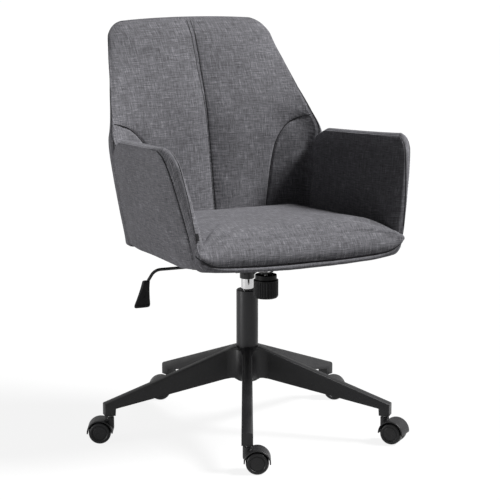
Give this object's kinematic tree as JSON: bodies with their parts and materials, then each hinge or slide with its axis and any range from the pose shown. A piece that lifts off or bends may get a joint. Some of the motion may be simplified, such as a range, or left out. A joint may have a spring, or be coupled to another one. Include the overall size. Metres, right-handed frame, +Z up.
{
  "type": "swivel office chair",
  "caption": "Upholstered tub seat with closed arms on a rocking mechanism, gas height column and five-arm base with twin-wheel casters.",
  "frame": {"origin": "centre of the footprint's bounding box, on the floor; the column axis stands at x = 0.0193 m, y = -0.0132 m", "axes": "+Z up along the column, the sitter faces -Y, +X to the sitter's left"},
  "size_m": [0.723, 0.7056, 0.93],
  "materials": {
    "grey_linen": "woven melange upholstery fabric",
    "lining": "thin non-woven lining",
    "plywood": "raw plywood",
    "black_nylon": "fine-textured moulded nylon",
    "wheel_nylon": "smooth moulded nylon",
    "rubber": "moulded rubber",
    "black_paint": "powder coat",
    "black_satin_metal": "satin black",
    "chrome": "polished",
    "zinc_steel": "zinc plated"
  },
  "bodies": {
    "base": {"star_base": "black_nylon", "column_tube": "black_satin_metal", "guide_bush": "black_nylon", "thrust_bearing": "zinc_steel", "rubber_bumper": "rubber", "caster_1_stem": "zinc_steel", "caster_2_stem": "zinc_steel", "caster_3_stem": "zinc_steel", "caster_4_stem": "zinc_steel", "caster_5_stem": "zinc_steel"},
    "rod": {"piston_rod": "zinc_steel", "retaining_clip": "zinc_steel"},
    "chassis": {"gas_cylinder": "chrome", "mechanism_housing": "black_paint", "tilt_pivot_pin": "zinc_steel", "tension_spring": "zinc_steel"},
    "release_valve": {"release_pin": "zinc_steel"},
    "lever_pivot": {"lever_bush": "black_nylon"},
    "lever": {"lever_rod": "black_paint", "lever_paddle": "black_nylon"},
    "tilt_lock": {"lock_slide": "zinc_steel"},
    "seat": {"seat_bracket": "black_paint", "seat_screw_front_left": "zinc_steel", "seat_screw_front_right": "zinc_steel", "seat_screw_rear_left": "zinc_steel", "seat_screw_rear_right": "zinc_steel", "tension_bolt": "zinc_steel", "seat_board": "plywood", "underside_cover": "lining", "front_rail": "grey_linen", "seat_cushion": "grey_linen", "back_frame": "plywood", "back_cover": "grey_linen", "back_pad": "grey_linen", "right_arm_frame": "plywood", "left_arm_frame": "plywood", "right_arm_pad": "grey_linen", "left_arm_pad": "grey_linen"},
    "tension_cup": {"spring_cup": "zinc_steel"},
    "tension_knob": {"tension_knob": "black_nylon"},
    "caster_1_fork": {"caster_1_hood": "black_nylon", "caster_1_axle": "zinc_steel"},
    "caster_1_left_wheel": {"caster_1_wheel_left": "wheel_nylon"},
    "caster_1_right_wheel": {"caster_1_wheel_right": "wheel_nylon"},
    "caster_2_fork": {"caster_2_hood": "black_nylon", "caster_2_axle": "zinc_steel"},
    "caster_2_left_wheel": {"caster_2_wheel_left": "wheel_nylon"},
    "caster_2_right_wheel": {"caster_2_wheel_right": "wheel_nylon"},
    "caster_3_fork": {"caster_3_hood": "black_nylon", "caster_3_axle": "zinc_steel"},
    "caster_3_left_wheel": {"caster_3_wheel_left": "wheel_nylon"},
    "caster_3_right_wheel": {"caster_3_wheel_right": "wheel_nylon"},
    "caster_4_fork": {"caster_4_hood": "black_nylon", "caster_4_axle": "zinc_steel"},
    "caster_4_left_wheel": {"caster_4_wheel_left": "wheel_nylon"},
    "caster_4_right_wheel": {"caster_4_wheel_right": "wheel_nylon"},
    "caster_5_fork": {"caster_5_hood": "black_nylon", "caster_5_axle": "zinc_steel"},
    "caster_5_left_wheel": {"caster_5_wheel_left": "wheel_nylon"},
    "caster_5_right_wheel": {"caster_5_wheel_right": "wheel_nylon"}
  },
  "joints": [
    {"name": "seat_swivel", "type": "hinge", "parent": "base", "child": "rod", "pos_m": [0.01928, -0.01319, 0.3], "axis": [0, 0, 1], "continuous": true},
    {"name": "seat_height", "type": "slide", "parent": "rod", "child": "chassis", "axis": [0, 0, 1], "range_m": [0, 0.1]},
    {"name": "seat_tilt", "type": "hinge", "parent": "chassis", "child": "seat", "pos_m": [0.01928, -0.05319, 0.408], "axis": [-1, 0, 0], "range_deg": [0, 14], "stiffness_Nm_per_rad": 150, "springref_deg": -20.05, "deforming": ["tension_spring"]},
    {"name": "knob_turn", "type": "hinge", "parent": "tension_cup", "child": "tension_knob", "pos_m": [0.01928, -0.11219, 0.35], "axis": [0, 0, 1], "range_deg": [0, 1440]},
    {"name": "tension_travel", "type": "slide", "parent": "seat", "child": "tension_cup", "axis": [0, 0, -1], "range_m": [0, 0.006]},
    {"name": "lever_lift", "type": "hinge", "parent": "chassis", "child": "lever_pivot", "pos_m": [-0.04022, -0.01319, 0.399], "axis": [0, 1, 0], "range_deg": [0, 4], "stiffness_Nm_per_rad": 3, "springref_deg": -11.46},
    {"name": "lever_pull", "type": "slide", "parent": "lever_pivot", "child": "lever", "axis": [-1, 0, 0], "range_m": [0, 0.012]},
    {"name": "valve_press", "type": "slide", "parent": "chassis", "child": "release_valve", "axis": [0, 0, -1], "range_m": [0, 0.0043]},
    {"name": "tilt_lock", "type": "slide", "parent": "chassis", "child": "tilt_lock", "axis": [-1, 0, 0], "range_m": [0, 0.012]},
    {"name": "caster_1_swivel", "type": "hinge", "parent": "base", "child": "caster_1_fork", "pos_m": [-0.11892, -0.30955, 0.06], "axis": [0, 0, 1], "continuous": true},
    {"name": "caster_1_left_roll", "type": "hinge", "parent": "caster_1_fork", "child": "caster_1_left_wheel", "pos_m": [-0.09943, -0.31863, 0.025], "axis": [0.4226, 0.9063, 0], "continuous": true},
    {"name": "caster_1_right_roll", "type": "hinge", "parent": "caster_1_fork", "child": "caster_1_right_wheel", "pos_m": [-0.09943, -0.31863, 0.025], "axis": [0.4226, 0.9063, 0], "continuous": true},
    {"name": "caster_2_swivel", "type": "hinge", "parent": "base", "child": "caster_2_fork", "pos_m": [0.25843, -0.2362, 0.06], "axis": [0, 0, 1], "continuous": true},
    {"name": "caster_2_left_roll", "type": "hinge", "parent": "caster_2_fork", "child": "caster_2_left_wheel", "pos_m": [0.27225, -0.25267, 0.025], "axis": [0.766, 0.6428, 0], "continuous": true},
    {"name": "caster_2_right_roll", "type": "hinge", "parent": "caster_2_fork", "child": "caster_2_right_wheel", "pos_m": [0.27225, -0.25267, 0.025], "axis": [0.766, 0.6428, 0], "continuous": true},
    {"name": "caster_3_swivel", "type": "hinge", "parent": "base", "child": "caster_3_fork", "pos_m": [0.30528, 0.14535, 0.06], "axis": [0, 0, 1], "continuous": true},
    {"name": "caster_3_left_roll", "type": "hinge", "parent": "caster_3_fork", "child": "caster_3_left_wheel", "pos_m": [0.32477, 0.13626, 0.025], "axis": [0.4226, 0.9063, 0], "continuous": true},
    {"name": "caster_3_right_roll", "type": "hinge", "parent": "caster_3_fork", "child": "caster_3_right_wheel", "pos_m": [0.32477, 0.13626, 0.025], "axis": [0.4226, 0.9063, 0], "continuous": true},
    {"name": "caster_4_swivel", "type": "hinge", "parent": "base", "child": "caster_4_fork", "pos_m": [-0.04311, 0.30781, 0.06], "axis": [0, 0, 1], "continuous": true},
    {"name": "caster_4_left_roll", "type": "hinge", "parent": "caster_4_fork", "child": "caster_4_left_wheel", "pos_m": [-0.0626, 0.31689, 0.025], "axis": [-0.4226, -0.9063, 0], "continuous": true},
    {"name": "caster_4_right_roll", "type": "hinge", "parent": "caster_4_fork", "child": "caster_4_right_wheel", "pos_m": [-0.0626, 0.31689, 0.025], "axis": [-0.4226, -0.9063, 0], "continuous": true},
    {"name": "caster_5_swivel", "type": "hinge", "parent": "base", "child": "caster_5_fork", "pos_m": [-0.30528, 0.02667, 0.06], "axis": [0, 0, 1], "continuous": true},
    {"name": "caster_5_left_roll", "type": "hinge", "parent": "caster_5_fork", "child": "caster_5_left_wheel", "pos_m": [-0.32477, 0.03575, 0.025], "axis": [-0.4226, -0.9063, 0], "continuous": true},
    {"name": "caster_5_right_roll", "type": "hinge", "parent": "caster_5_fork", "child": "caster_5_right_wheel", "pos_m": [-0.32477, 0.03575, 0.025], "axis": [-0.4226, -0.9063, 0], "continuous": true}
  ],
  "couplings": [
    {"joint": "tension_travel", "follows": "knob_turn", "m_per_rad": 0.00023873},
    {"joint": "valve_press", "follows": "lever_lift", "m_per_rad": 0.0595},
    {"joint": "tilt_lock", "follows": "lever_pull", "ratio": 1}
  ]
}
